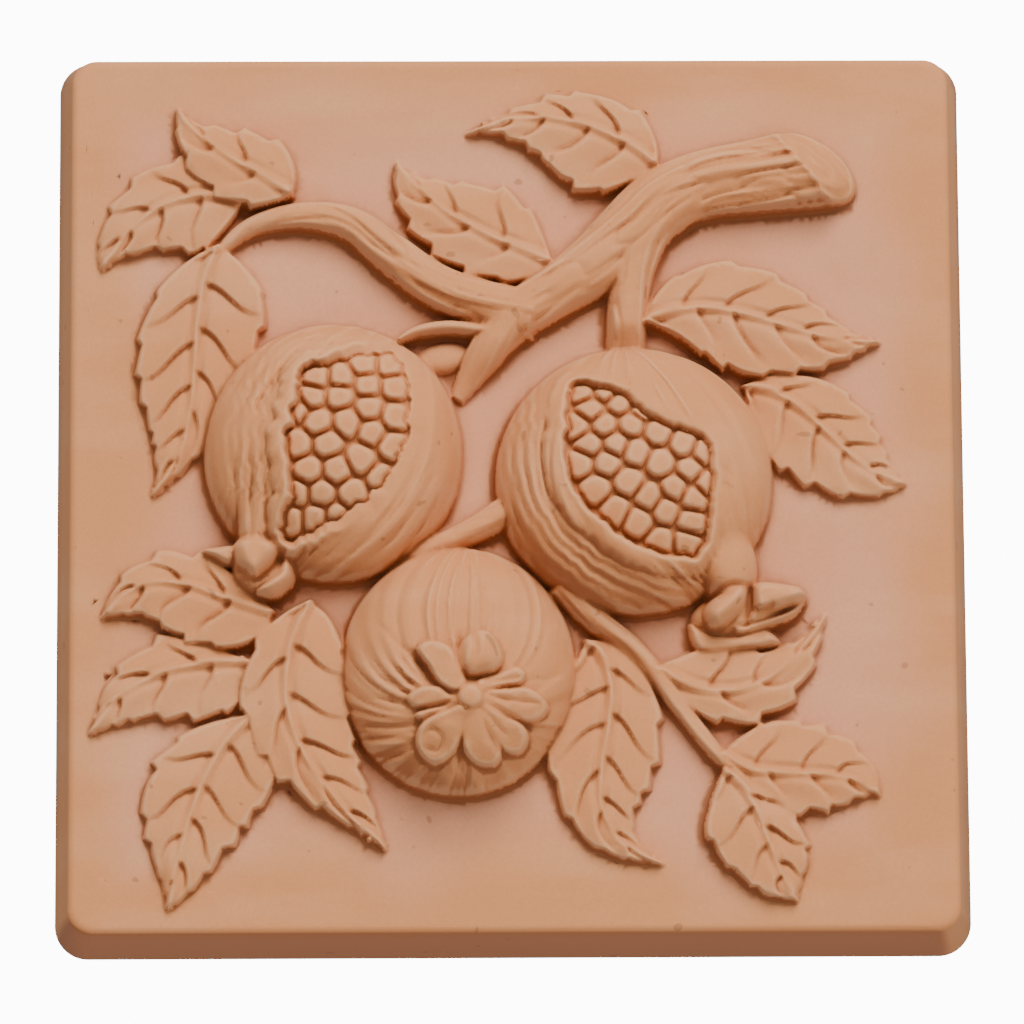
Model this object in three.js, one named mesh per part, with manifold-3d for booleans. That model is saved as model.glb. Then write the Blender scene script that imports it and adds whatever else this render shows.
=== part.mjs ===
// Decorative wall plaque: three pomegranates on a leafy branch, in relief on a square slab.
// One press-moulded terracotta solid. Millimetres, +Z up, front towards -Y, back in the plane
// y = 0 with the origin at its centre. Relief points are (x, z, height above the ground).
import * as THREE from 'three';
import Module from 'manifold-3d';

const wasm = await Module();
wasm.setup();

// Slab
const SIDE = 300;
const SLAB = 30;
const CORNER = 11;
const DRAFT = 5.4;
const EDGE_ROUND = 3;
const BURIED = -2;

// Fruits: ellipse of the rim, height of the dome, share of that height under the opening
const SEED_DEPTH = 5;
const SEED_RISE = 3.6;
const FRUITS = {
  left: { at: [-58.5, 12], radius: [42.5, 43], height: 29 },
  right: { at: [39.5, 2.5], radius: [45.5, 44.5], height: 30 },
  bottom: { at: [-18, -60], radius: [38.5, 41], height: 29 },
};

// Openings torn in the rind: corners of the outline, and the rolled lip round it
const OPENINGS = {
  left: {
    outline: [[-69, 36], [-56, 41], [-38, 45], [-32, 32], [-33, 14], [-44, -6], [-60, -15], [-75, -18],
      [-72, -2], [-73, 14], [-70, 26]],
    lip: { half: 3.4, rise: 1.8, towards: 180 },
  },
  right: {
    outline: [[19, 33], [34, 30.5], [47, 21], [64, 13], [65, -6], [60, -25], [45, -24], [32, -17],
      [21, -7], [17, 4], [17, 20]],
    lip: { half: 4.2, rise: 2, towards: 215 },
  },
};

// Seeds, one row of centres a line, from the top of each opening down
const SEED_RADIUS = 5.8;
const SEED_GAP = 0.4;
const SEEDS = {
  left: [
    { z: 38, x: [-48, -40] },
    { z: 33.5, x: [-63.5, -55.5] },
    { z: 31.5, x: [-47, -38.5] },
    { z: 27.5, x: [-65, -56] },
    { z: 23, x: [-70.5, -46.5] },
    { z: 20.5, x: [-38.5] },
    { z: 18.5, x: [-63, -53.5] },
    { z: 15.5, x: [-45.5] },
    { z: 11.5, x: [-69.5, -60, -39] },
    { z: 6.5, x: [-49.5] },
    { z: 3, x: [-66, -57] },
    { z: 0, x: [-42.5] },
    { z: -4.5, x: [-70, -62, -52] },
    { z: -12, x: [-72, -64, -57] },
  ],
  right: [
    { z: 29.5, x: [22.5, 30] },
    { z: 25, x: [34.5] },
    { z: 23, x: [25, 42] },
    { z: 17.5, x: [20.5, 29.5, 38] },
    { z: 15, x: [46.5] },
    { z: 11, x: [24.5, 33, 55] },
    { z: 8.5, x: [39.5, 61.5] },
    { z: 5, x: [21.5, 30, 47.5] },
    { z: 3, x: [57] },
    { z: -1.5, x: [37, 62.5] },
    { z: -3.5, x: [26.5, 52] },
    { z: -6.5, x: [43.5, 58] },
    { z: -10.5, x: [33, 49] },
    { z: -14, x: [40, 57] },
    { z: -20.5, x: [47.5, 55.5] },
  ],
};

// Wood: [x, z, half width] along each branch; the height goes with the root of the width.
// The main branch starts at its sawn end, cut askew and sloping down to the ground.
const WOOD_HEIGHT = 4.5;
const BARK = 1.1;
const BRANCHES = [
  { steps: 11, askew: -8, slope: 5, run: [[99, 107, 14], [80, 104, 12.5], [62, 101, 11.5], [48, 95, 11],
    [38, 85, 11], [28, 75, 10.5], [15, 66, 9], [0, 58, 8], [-10, 46, 7], [-17, 31, 6]] },
  { steps: 12, run: [[6, 58, 8.5], [-10, 62, 8], [-25, 68, 7.5], [-40, 79, 7], [-52, 88, 6],
    [-65, 91, 5], [-78, 90, 4], [-88, 86, 3], [-95, 79, 2.2], [-99, 70, 1.5]] },
  { steps: 5, run: [[58, 98, 9], [46, 88, 8.5], [40, 74, 7.5], [38, 60, 6.8], [37, 44, 6.5]] },
  { steps: 3, run: [[0, -6, 5.5], [-12, -13, 4.6], [-25, -19, 4], [-38, -25, 2.5]] },
  { steps: 9, run: [[17, -32, 6], [28, -44, 4.5], [38, -52, 4], [47, -62, 3.6], [55, -73, 3.2],
    [65, -86, 2.8], [75, -96, 2.2], [83, -106, 1.6]] },
];

// Leaves: spine from base to tip, bowed to its left at each third; each side's greatest half
// width, where along the spine it lies and how fast it runs out to the ends; height of the
// blade; how much higher its left edge is than its right edge
const TOOTH = 1.8;
const VEIN_SPACING = 14.5;
const LEAVES = [
  { base: [-88, 96], tip: [-134, 74], bow: [-15, -11], left: [18, 0.31, 2], right: [13, 0.3, 1],
    height: 5.5, tilt: 1 },
  { base: [-72, 98], tip: [-109, 127], bow: [1, 7], left: [12, 0.42, 1.7], right: [12, 0.3, 2.2],
    height: 9, tilt: 1.5 },
  { base: [-96, 81], tip: [-117, -1], bow: [-7, 15], left: [20.5, 0.25, 1.9], right: [18, 0.45, 2.2],
    height: 6, tilt: 0 },
  { base: [13, 76], tip: [-37, 109], bow: [5, 9], left: [13.5, 0.42, 1.3], right: [15.5, 0.38, 2.6],
    height: 6.5, tilt: 1.5 },
  { base: [48, 108], tip: [-14, 119], bow: [-11, -13], left: [20, 0.3, 2.2], right: [11.5, 0.3, 2.6],
    height: 7, tilt: 2 },
  { base: [76, 34], tip: [128, 2], bow: [11, -9], left: [13.5, 0.5, 2.2], right: [18.5, 0.39, 1.6],
    height: 5.5, tilt: -1 },
  { base: [43, 55], tip: [120, 49], bow: [16, -6], left: [16, 0.39, 2.4], right: [18, 0.44, 2.5],
    height: 8, tilt: -1.5 },
  { base: [-86, -56], tip: [-137, -79], bow: [-8, -13], left: [16.5, 0.25, 1.1], right: [10, 0.45, 3.2],
    height: 5.5, tilt: 1 },
  { base: [-78, -40], tip: [-133, -41], bow: [-2, -22], left: [16.5, 0.39, 1.3], right: [10, 0.47, 2.1],
    height: 7.5, tilt: 1 },
  { base: [-84, -73], tip: [-112, -136], bow: [-11, -4], left: [20, 0.25, 1.1], right: [16, 0.46, 2.9],
    height: 5.5, tilt: 1 },
  { base: [-66, -37], tip: [-42, -117], bow: [-28, -17], left: [19.5, 0.32, 1.3], right: [13.5, 0.34, 2.5],
    height: 8.5, tilt: 0 },
  { base: [24, -50], tip: [47, -122], bow: [16, -35], left: [16.5, 0.44, 2.3], right: [19, 0.31, 1.7],
    height: 6.5, tilt: -1 },
  { base: [67, -87], tip: [118, -100], bow: [-8, 8], left: [16.5, 0.38, 1.2], right: [11.5, 0.55, 2.5],
    height: 6, tilt: -1 },
  { base: [46, -59], tip: [101, -42], bow: [-23, -17], left: [15, 0.32, 2.6], right: [10, 0.45, 2.2],
    height: 7, tilt: -1 },
  { base: [68, -92], tip: [91, -134], bow: [7, -3], left: [11.5, 0.58, 2.5], right: [17, 0.39, 1.5],
    height: 7, tilt: -2 },
  { base: [-6, 53], tip: [-38, 49], bow: [3, 2], left: [4, 0.5, 1.2], right: [5, 0.5, 1.6],
    height: 10, tilt: -2 },
];

// Rounded lumps of the two side crowns: centre, half length, half width, turn, top height
const CROWN_LUMPS = [
  { at: [-79, -15], half: [12, 8], turn: 80, top: 19 },
  { at: [-81, -24], half: [9, 8], turn: 20, top: 19 },
  { at: [-80, -32], half: [11, 4.5], turn: 5, top: 14 },
  { at: [-95, -21], half: [8, 4.5], turn: 160, top: 10 },
  { at: [66, -27], half: [16, 10], turn: -60, top: 18 },
  { at: [67, -40], half: [9, 7], turn: 40, top: 20 },
  { at: [84, -38], half: [12, 5.5], turn: 8, top: 16 },
  { at: [74, -45], half: [16, 5.5], turn: 12, top: 11 },
];

// Crown of the bottom fruit: petals round a button, each at its angle and reach
const BUTTON = { at: [-14.5, -72], radius: 4.2, top: 36 };
const PETALS = [
  { angle: 126, reach: 22, half: 6, top: 33 },
  { angle: 79, reach: 21, half: 8, top: 36 },
  { angle: 27, reach: 17, half: 5, top: 33.5 },
  { angle: -8, reach: 23, half: 6, top: 32 },
  { angle: -44, reach: 22, half: 6.5, top: 32 },
  { angle: -82, reach: 21, half: 7.5, top: 32 },
  { angle: -128, reach: 22, half: 8, top: 32.5 },
  { angle: 178, reach: 19, half: 6.5, top: 32.5 },
];

/** Point of the object from its place on the ground and its height above it. */
function reliefPoint(x, z, height) {
  return new THREE.Vector3(x, -SLAB - height, z);
}

/** Solid from triangles over shared points, turned so that its faces point out. */
function solidFrom(points, triangles) {
  const volume = triangles.reduce((sum, [a, b, c]) =>
    sum + points[a].dot(new THREE.Vector3().crossVectors(points[b], points[c])), 0);
  const outward = volume > 0 ? triangles : triangles.map(([a, b, c]) => [a, c, b]);
  return new wasm.Manifold(new wasm.Mesh({
    numProp: 3,
    vertProperties: new Float32Array(points.flatMap((p) => p.toArray())),
    triVerts: new Uint32Array(outward.flat()),
  }));
}

/** Solid skinned over loops of equal length; its ends are fans, or joined to each other. */
function loft(loops, ring = false) {
  const n = loops[0].length;
  const points = loops.flat();
  const triangles = [];
  const spans = ring ? loops.length : loops.length - 1;
  for (let i = 0; i < spans; i += 1) {
    const here = i * n;
    const next = ((i + 1) % loops.length) * n;
    for (let j = 0; j < n; j += 1) {
      const k = (j + 1) % n;
      triangles.push([here + j, here + k, next + k], [here + j, next + k, next + j]);
    }
  }
  if (!ring) {
    [loops[0], loops.at(-1)].forEach((loop, end) => {
      const centre = loop.reduce((sum, p) => sum.add(p), new THREE.Vector3()).divideScalar(n);
      points.push(centre);
      const first = end === 0 ? 0 : (loops.length - 1) * n;
      for (let j = 0; j < n; j += 1) {
        const edge = [first + j, first + ((j + 1) % n)];
        triangles.push(end === 0 ? [edge[1], edge[0], points.length - 1] : [...edge, points.length - 1]);
      }
    });
  }
  return solidFrom(points, triangles);
}

/** Rounded square of the slab, drawn in by inset, at one height. */
function slabLoop(inset, height) {
  const half = SIDE / 2 - inset;
  const radius = Math.max(CORNER - inset / 2, 1);
  const loop = [];
  for (let corner = 0; corner < 4; corner += 1) {
    const [sx, sz] = [[1, 1], [-1, 1], [-1, -1], [1, -1]][corner];
    for (let step = 0; step <= 5; step += 1) {
      const turn = (corner + step / 5) * Math.PI / 2;
      loop.push(reliefPoint(
        sx * (half - radius) + radius * Math.cos(turn),
        sz * (half - radius) + radius * Math.sin(turn), height));
    }
  }
  return loop;
}

function makeSlab() {
  const loops = [slabLoop(1, -SLAB), slabLoop(0, 1 - SLAB), slabLoop(DRAFT, -EDGE_ROUND)];
  for (let step = 1; step <= 2; step += 1) {
    const turn = step / 2 * Math.PI / 2;
    loops.push(slabLoop(DRAFT + EDGE_ROUND * (1 - Math.cos(turn)), EDGE_ROUND * (Math.sin(turn) - 1)));
  }
  return loft(loops);
}

/** Spine point and its left-hand direction at a share s of a leaf's length. */
function leafSpine(leaf, s) {
  const base = new THREE.Vector2(...leaf.base);
  const tip = new THREE.Vector2(...leaf.tip);
  const along = tip.clone().sub(base);
  const side = new THREE.Vector2(-along.y, along.x).normalize();
  const thirds = leaf.bow.map((bow, i) =>
    base.clone().addScaledVector(along, (i + 1) / 3).addScaledVector(side, bow));
  const curve = new THREE.CubicBezierCurve(base, ...thirds, tip);
  const tangent = curve.getTangent(s);
  return { point: curve.getPoint(s), left: new THREE.Vector2(-tangent.y, tangent.x) };
}

/** Half width of one side of a blade: greatest at `peak`, running out to both ends. */
function bladeWidth([greatest, peak, fullness], s) {
  return greatest * ((s / peak) ** peak * ((1 - s) / (1 - peak)) ** (1 - peak)) ** fullness;
}

/** One leaf: sawtooth edges, a midrib ridge and side veins sunk between puffed panels. */
function makeLeaf(leaf) {
  const loops = [];
  const veinSteps = [{ share: 0, tooth: 1, puff: 0 }, { share: 0.3, tooth: -0.5, puff: 1 }];
  const across = [-1, -0.6, -0.13, 0, 0.13, 0.6, 1];
  const length = new THREE.Vector2(...leaf.base).distanceTo(new THREE.Vector2(...leaf.tip));
  const veins = Math.round(length / VEIN_SPACING);
  for (let vein = 0; vein < veins; vein += 1) {
    for (const { share, tooth, puff } of veinSteps) {
      const s = 0.04 + 0.945 * (vein + share) / (veins - 0.7);
      const crest = leaf.height * (1 - 0.3 * s * s);
      const top = across.map((q) => {
        const reach = Math.abs(q);
        const swept = s + 0.75 * reach * s * (1 - s);
        const { point, left } = leafSpine(leaf, swept);
        const jag = reach === 1 && vein > 0 ? TOOTH * tooth * Math.sin(Math.PI * s) ** 0.5 : 0;
        const width = Math.max(bladeWidth(q < 0 ? leaf.right : leaf.left, swept) * reach + jag, 0.5 * reach);
        const place = point.addScaledVector(left, Math.sign(q) * width);
        const panel = reach === 0.6 ? 0.9 * puff : -0.6 * reach;
        const rib = q === 0 ? 0.9 : 0;
        return { place, height: crest + rib + panel + leaf.tilt * q / 2 };
      });
      const ends = [top.at(-1), top[0]].map(({ place }) => ({ place, height: BURIED }));
      loops.push([...top, ...ends].map(({ place, height }) => reliefPoint(place.x, place.y, height)));
    }
  }
  return loft(loops);
}

/** One branch: a ribbed half round swept along its run; a sawn start gets a sloping face. */
function makeBranch({ run, steps, askew = 0, slope = 0 }) {
  const curve = new THREE.CatmullRomCurve3(run.map(([x, z, half]) => new THREE.Vector3(x, z, half)));
  const ribs = 8;
  const section = (share, out, flat) => {
    const { x, y: z, z: half } = curve.getPoint(share);
    const heading = curve.getTangent(share).setZ(0).normalize();
    const top = WOOD_HEIGHT * Math.sqrt(half);
    const across = new THREE.Vector3(-heading.y, heading.x, 0);
    const place = (side, height) => {
      const along = askew * (1 - share) ** 8 * side / half - out;
      const spot = new THREE.Vector3(x, z, 0).addScaledVector(heading, along).addScaledVector(across, side);
      return reliefPoint(spot.x, spot.y, height);
    };
    const arch = Array.from({ length: ribs + 1 }, (_, rib) => {
      const turn = Math.PI * rib / ribs;
      const bark = rib > 0 && rib < ribs ? BARK * (rib % 2 ? 1 : -1) * half / 10 : 0;
      return place((half + bark) * Math.cos(turn), flat * (top + bark) * Math.sin(turn) ** 0.75);
    });
    return [...arch, place(-half, BURIED), place(half, BURIED)];
  };
  const face = slope > 0 ? [section(0, slope, 0.1)] : [];
  const loops = Array.from({ length: steps + 1 }, (_, step) => section(step / steps, 0, 1));
  return loft([...face, ...loops]);
}

/** Height of a fruit's dome over a place on the ground. */
function domeHeight(fruit, x, z) {
  const reach = Math.hypot((x - fruit.at[0]) / fruit.radius[0], (z - fruit.at[1]) / fruit.radius[1]);
  return fruit.height * Math.max(1 - reach ** 2.3, 0) ** 0.5;
}

function makeDome(fruit, sides, sunk = 0, reaches = [1, 0.97, 0.89, 0.75, 0.55, 0.3]) {
  const loops = [];
  for (const reach of [reaches[0], ...reaches]) {
    const loop = [];
    for (let side = 0; side < sides; side += 1) {
      const turn = 2 * Math.PI * side / sides;
      const x = fruit.at[0] + reach * fruit.radius[0] * Math.cos(turn);
      const z = fruit.at[1] + reach * fruit.radius[1] * Math.sin(turn);
      const height = loops.length === 0 ? BURIED : Math.max(domeHeight(fruit, x, z) - sunk, 0);
      loop.push(reliefPoint(x, z, height));
    }
    loops.push(loop);
  }
  return loft(loops);
}

/** Closed smooth outline of an opening, as [x, z] points. */
function openingOutline(opening, count) {
  const corners = opening.outline.map(([x, z]) => new THREE.Vector3(x, z, 0));
  return new THREE.CatmullRomCurve3(corners, true, 'centripetal').getPoints(count).slice(0, -1);
}

/** Raised rolled lip round an opening, thickest on the side it faces. */
function makeLip(fruit, opening, count) {
  const outline = openingOutline(opening, count);
  const centre = outline.reduce((sum, p) => sum.add(p), new THREE.Vector3()).divideScalar(count);
  const loops = outline.map((p, i) => {
    const run = outline[(i + 1) % count].clone().sub(outline.at(i - 1)).normalize();
    const out = new THREE.Vector3(run.y, -run.x, 0);
    const outward = Math.sign(out.dot(p.clone().sub(centre)));
    const bearing = Math.atan2(p.y - centre.y, p.x - centre.x);
    const facing = 0.6 + 0.4 * Math.cos(bearing - THREE.MathUtils.degToRad(opening.lip.towards));
    const profile = [[0, -3], [0, 0.4], [0.45, 1], [1.1, -0.1], [1.1, -3]];
    return profile.map(([across, rise]) => {
      const { x, y: z } = p.clone().addScaledVector(out, outward * 2 * across * opening.lip.half * facing);
      return reliefPoint(x, z, domeHeight(fruit, x, z) + rise * opening.lip.rise * facing);
    });
  });
  return loft(loops, true);
}

/** Rounded lump: an oval dome from below the ground to its top. */
function makeLump({ at, half, turn, top }, foot = BURIED, sides = 8) {
  const lean = THREE.MathUtils.degToRad(turn);
  const rise = top - foot;
  const loops = [[1, foot], [1, foot + 0.45 * rise], [0.7, foot + 0.88 * rise],
    [0.3, top]].map(([reach, height]) => {
    const loop = [];
    for (let side = 0; side < sides; side += 1) {
      const bearing = 2 * Math.PI * side / sides;
      const along = reach * half[0] * Math.cos(bearing);
      const over = reach * half[1] * Math.sin(bearing);
      const x = at[0] + along * Math.cos(lean) - over * Math.sin(lean);
      const z = at[1] + along * Math.sin(lean) + over * Math.cos(lean);
      loop.push(reliefPoint(x, z, height));
    }
    return loop;
  });
  return loft(loops);
}

/** The part of a convex outline, about its own centre, that lies within a limit along a direction. */
function clipOutline(outline, direction, limit) {
  return outline.flatMap((p, i) => {
    const q = outline[(i + 1) % outline.length];
    const past = [p, q].map((point) => point.dot(direction) - limit);
    const kept = past[0] <= 0 ? [p] : [];
    const crossing = (past[0] <= 0) !== (past[1] <= 0);
    return crossing ? [...kept, p.clone().lerp(q, past[0] / (past[0] - past[1]))] : kept;
  });
}

/** One seed: a low pillow with flat sides, half a gap short of the middle towards each neighbour. */
function makeSeed(fruit, seed, seeds) {
  let outline = Array.from({ length: 8 }, (_, i) =>
    new THREE.Vector2(SEED_RADIUS, 0).rotateAround(new THREE.Vector2(), (i + 0.5) * Math.PI / 4));
  for (const other of seeds) {
    const apart = other.clone().sub(seed);
    if (other !== seed && apart.length() < 2 * SEED_RADIUS + SEED_GAP) {
      outline = clipOutline(outline, apart.clone().normalize(), (apart.length() - SEED_GAP) / 2);
    }
  }
  const corners = outline.filter((p, i) => p.distanceTo(outline.at(i - 1)) > 0.6);
  const bed = domeHeight(fruit, seed.x, seed.y) - SEED_DEPTH;
  return loft([[1, -1], [0.7, 1]].map(([reach, share]) => corners.map((p) =>
    reliefPoint(seed.x + reach * p.x, seed.y + reach * p.y, bed + share * SEED_RISE))));
}

/** A fruit split open: the rind cut out down to the bed, the lip and the seeds. */
function makeOpenFruit(side) {
  const fruit = FRUITS[side];
  const opening = OPENINGS[side];
  const outline = openingOutline(opening, 24);
  const prism = loft([BURIED, fruit.height + 10].map((height) =>
    outline.map(({ x, y }) => reliefPoint(x, y, height))));
  const cut = prism.subtract(makeDome(fruit, 9, SEED_DEPTH, [1, 0.62, 0.25]));
  const rind = makeDome(fruit, 24).add(makeLip(fruit, opening, 24)).subtract(cut);
  const seeds = SEEDS[side].flatMap(({ z, x }) => x.map((place) => new THREE.Vector2(place, z)));
  return seeds.reduce((whole, seed) => whole.add(makeSeed(fruit, seed, seeds)), rind);
}

function makeFlower() {
  const [x, z] = BUTTON.at;
  const foot = domeHeight(FRUITS.bottom, x, z) - 8;
  const petals = PETALS.map(({ angle, reach, half, top }) => {
    const bearing = THREE.MathUtils.degToRad(angle);
    const at = [x + 0.55 * reach * Math.cos(bearing), z + 0.55 * reach * Math.sin(bearing)];
    return makeLump({ at, half: [0.48 * reach, half], turn: angle, top }, foot, 6);
  });
  const button = { at: BUTTON.at, half: [BUTTON.radius, BUTTON.radius], turn: 0, top: BUTTON.top };
  return petals.reduce((whole, petal) => whole.add(petal), makeLump(button, foot, 6));
}

function makePlaque() {
  const pieces = [
    ...LEAVES.map(makeLeaf),
    ...BRANCHES.map(makeBranch),
    makeOpenFruit('left'),
    makeOpenFruit('right'),
    makeDome(FRUITS.bottom, 26),
    makeFlower(),
    ...CROWN_LUMPS.map((lump) => makeLump(lump)),
  ];
  return pieces.reduce((whole, piece) => whole.add(piece), makeSlab());
}

/** Drawable geometry of a finished solid. */
function geometryOf(solid) {
  const { vertProperties, triVerts } = solid.getMesh();
  const geometry = new THREE.BufferGeometry();
  geometry.setAttribute('position', new THREE.BufferAttribute(vertProperties, 3));
  geometry.setIndex(new THREE.BufferAttribute(triVerts, 1));
  geometry.computeVertexNormals();
  return geometry;
}

const terracotta = new THREE.MeshStandardMaterial({ color: 0xc89c7a, roughness: 0.9, metalness: 0 });
const plaque = new THREE.Mesh(geometryOf(makePlaque()), terracotta);
plaque.name = 'plaque';

const model = new THREE.Group();
model.add(plaque);

export default model;
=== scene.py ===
import bmesh
import bpy
import numpy as np
from mathutils import Matrix, Vector


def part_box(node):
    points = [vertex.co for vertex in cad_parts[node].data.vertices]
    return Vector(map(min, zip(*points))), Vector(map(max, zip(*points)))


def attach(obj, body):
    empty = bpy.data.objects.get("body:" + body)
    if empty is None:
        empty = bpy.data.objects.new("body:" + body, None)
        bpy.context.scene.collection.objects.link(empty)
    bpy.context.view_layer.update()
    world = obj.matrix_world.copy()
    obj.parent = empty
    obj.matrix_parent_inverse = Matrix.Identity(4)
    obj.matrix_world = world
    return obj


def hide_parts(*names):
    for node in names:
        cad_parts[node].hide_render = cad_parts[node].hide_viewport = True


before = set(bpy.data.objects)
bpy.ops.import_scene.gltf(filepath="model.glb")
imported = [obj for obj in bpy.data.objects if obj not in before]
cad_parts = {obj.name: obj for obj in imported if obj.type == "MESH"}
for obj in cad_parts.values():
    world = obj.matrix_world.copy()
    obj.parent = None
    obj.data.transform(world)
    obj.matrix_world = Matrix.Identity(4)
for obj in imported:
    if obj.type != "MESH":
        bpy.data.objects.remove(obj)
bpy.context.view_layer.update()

# Slab: the square tile behind the relief, with drafted sides so that it leaves its mould, a rounded
# front edge and a flat back. All lengths below are millimetres, x to the right, z up, and heights
# stand above the front of the slab; the whole plaque is one sheet of points over x and z.
MM = 0.001
low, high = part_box("plaque")
SIDE = (high.x - low.x) / MM
RELIEF = 36.0
SLAB = (high.y - low.y) / MM - RELIEF
CORNER = 11.0
DRAFT = 5.4
EDGE_ROUND = 3.0
BACK_CHAMFER = 1.0
CELL = 0.4


def smooth_step(low_end, high_end, value):
    """Rise from 0 to 1 between two values, level at both: 3 t squared minus 2 t cubed."""
    t = np.clip((value - low_end) / (high_end - low_end), 0, 1)
    return t * t * (3 - 2 * t)


def grain(u, v, seed):
    """Random hills about one unit apart, from -1 to 1: lattice heights blended by smooth steps."""
    lattice = np.random.default_rng(seed).uniform(-1, 1, (256, 256))
    i, j = np.floor(u).astype(int), np.floor(v).astype(int)
    a, b = smooth_step(0, 1, u - i), smooth_step(0, 1, v - j)
    near = lattice[i % 256, j % 256] * (1 - a) + lattice[(i + 1) % 256, j % 256] * a
    far = lattice[i % 256, (j + 1) % 256] * (1 - a) + lattice[(i + 1) % 256, (j + 1) % 256] * a
    return near * (1 - b) + far * b


def side_profile():
    """Inset and height of the slab's side, from its back edge over the draft and the round to the face."""
    rise = np.linspace(0, 1, 14)
    turn = np.linspace(0, np.pi / 2, 8)[1:]
    inset = np.concatenate([[BACK_CHAMFER], DRAFT * rise, DRAFT + EDGE_ROUND * (1 - np.cos(turn))])
    height = np.concatenate([
        [-SLAB], BACK_CHAMFER - SLAB + (SLAB - BACK_CHAMFER - EDGE_ROUND) * rise,
        EDGE_ROUND * (np.sin(turn) - 1)])
    return inset, height


def slab_sheet():
    """Places and heights of a square sheet of points that wraps the slab's face and sides.

    Each square ring of the sheet is laid on a rounded square: points near a corner go round its arc."""
    inset, height = side_profile()
    face = SIDE / 2 - inset[-1]
    count = 2 * round(face / CELL) + 1
    rings = len(inset) - 1
    line = np.linspace(-face - rings * CELL, face + rings * CELL, count + 2 * rings)
    number = np.minimum(np.arange(len(line)), np.arange(len(line))[::-1])
    line_inset = np.where(number < rings, inset[np.minimum(number, rings)], SIDE / 2 - np.abs(line))
    line_height = np.where(number < rings, height[np.minimum(number, rings)], 0)
    a, b = np.meshgrid(line, line, indexing="ij")
    first = number[:, None] < number[None, :]
    ring_inset = np.where(first, line_inset[:, None], line_inset[None, :])
    ring_height = np.where(first, line_height[:, None], line_height[None, :])
    half = SIDE / 2 - ring_inset
    flat_half = np.maximum(np.where(first, np.abs(a), np.abs(b)), 1e-6)
    along = np.minimum(np.where(first, np.abs(b), np.abs(a)) * half / flat_half, half)
    radius = np.maximum(CORNER - ring_inset / 2, 1e-6)
    turn = np.clip((along - half + radius) / radius, 0, 1) * np.pi / 4
    main = half - radius * (1 - np.cos(turn))
    other = np.where(turn > 0, half - radius * (1 - np.sin(turn)), along)
    x = np.where(first, main, other) * np.sign(a)
    z = np.where(first, other, main) * np.sign(b)
    return line, x, z, ring_height, ring_inset


line, X, Z, slab_height, inset = slab_sheet()
relief = np.zeros_like(X)


def window(x_low, x_high, z_low, z_high):
    """Rows and columns of the sheet over a rectangle of the face."""
    rows = slice(*np.searchsorted(line, [x_low, x_high]))
    columns = slice(*np.searchsorted(line, [z_low, z_high]))
    return rows, columns


def press(place, height, fillet):
    """Adds a form to the relief: the higher of the two, with a fillet where they are about level."""
    there = relief[place]
    blend = np.maximum(fillet - np.abs(there - height), 0) ** 2 / (4 * fillet)
    relief[place] = np.maximum(there, height) + blend


# Branches: rolled sausages of clay laid on the slab and scored along their length to look like bark.
# Each run is [x, z, half width]; the height goes with the root of the width, and the thick branch
# starts at its sawn end, whose ringed face slopes down to the slab.
WOOD_HEIGHT = 4.5
SAW_SKEW = -8.0
WOOD_FILLET = 2.0
BRANCHES = [
    [[99, 107, 14], [80, 104, 12.5], [62, 101, 11.5], [48, 95, 11], [38, 85, 11], [28, 75, 10.5],
     [15, 66, 9], [0, 56, 8], [-10, 43, 6], [-18, 30, 2.5]],
    [[6, 58, 8.5], [-10, 62, 8], [-25, 68, 7.5], [-40, 79, 7], [-52, 88, 6], [-65, 91, 5],
     [-78, 90, 4], [-88, 86, 3], [-95, 79, 2.2], [-99, 70, 1.5]],
    [[58, 98, 9], [46, 88, 8.5], [40, 74, 7.5], [38, 60, 6.8], [37, 44, 6.5]],
    [[0, -6, 5.5], [-12, -13, 4.6], [-25, -19, 4], [-38, -25, 2.5]],
    [[17, -32, 6], [28, -44, 4.5], [38, -52, 4], [47, -62, 3.6], [55, -73, 3.2], [65, -86, 2.8],
     [75, -96, 2.2], [83, -106, 1.6]],
]


def smooth_run(points, closed=False, samples=16):
    """Smooth line through points: a centripetal Catmull-Rom curve, with so many samples a stretch."""
    p = np.array(points, float)
    if closed:
        p = np.concatenate([p[-1:], p, p[:2]])
    else:
        p = np.concatenate([[2 * p[0] - p[1]], p, [2 * p[-1] - p[-2]]])
    step = np.linalg.norm(np.diff(p, axis=0), axis=1)[:, None] ** 0.5
    slope = np.diff(p, axis=0) / step
    through = slope[:-1] - (p[2:] - p[:-2]) / (step[:-1] + step[1:]) + slope[1:]
    start, end = through[:-1] * step[1:-1], through[1:] * step[1:-1]
    t = np.linspace(0, 1, samples, endpoint=False)[:, None, None]
    stretch = ((2 * t ** 3 - 3 * t ** 2 + 1) * p[1:-2] + (t ** 3 - 2 * t ** 2 + t) * start
               + (3 * t ** 2 - 2 * t ** 3) * p[2:-1] + (t ** 3 - t ** 2) * end)
    curve = stretch.transpose(1, 0, 2).reshape(-1, p.shape[1])
    return np.concatenate([curve, p[-2:-1]])


def beside(x, z, run):
    """Sample of the run nearest to each point, length along the run, and distance to its left.

    The offset from the nearest sample is split along and across the run's direction there."""
    heading = np.gradient(run[:, :2], axis=0)
    step = np.hypot(heading[:, 0], heading[:, 1])
    heading /= step[:, None]
    length = np.concatenate([[0], np.cumsum(np.hypot(*np.diff(run[:, :2], axis=0).T))])
    x, z, knots = x.astype(np.float32), z.astype(np.float32), run[:, :2].astype(np.float32)
    nearest = np.argmin((x[..., None] - knots[:, 0]) ** 2 + (z[..., None] - knots[:, 1]) ** 2, axis=-1)
    dx, dz = x - knots[nearest, 0], z - knots[nearest, 1]
    along = dx * heading[nearest, 0] + dz * heading[nearest, 1]
    left = dz * heading[nearest, 0] - dx * heading[nearest, 1]
    return nearest + along / step[nearest], length[nearest] + along, left


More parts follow.
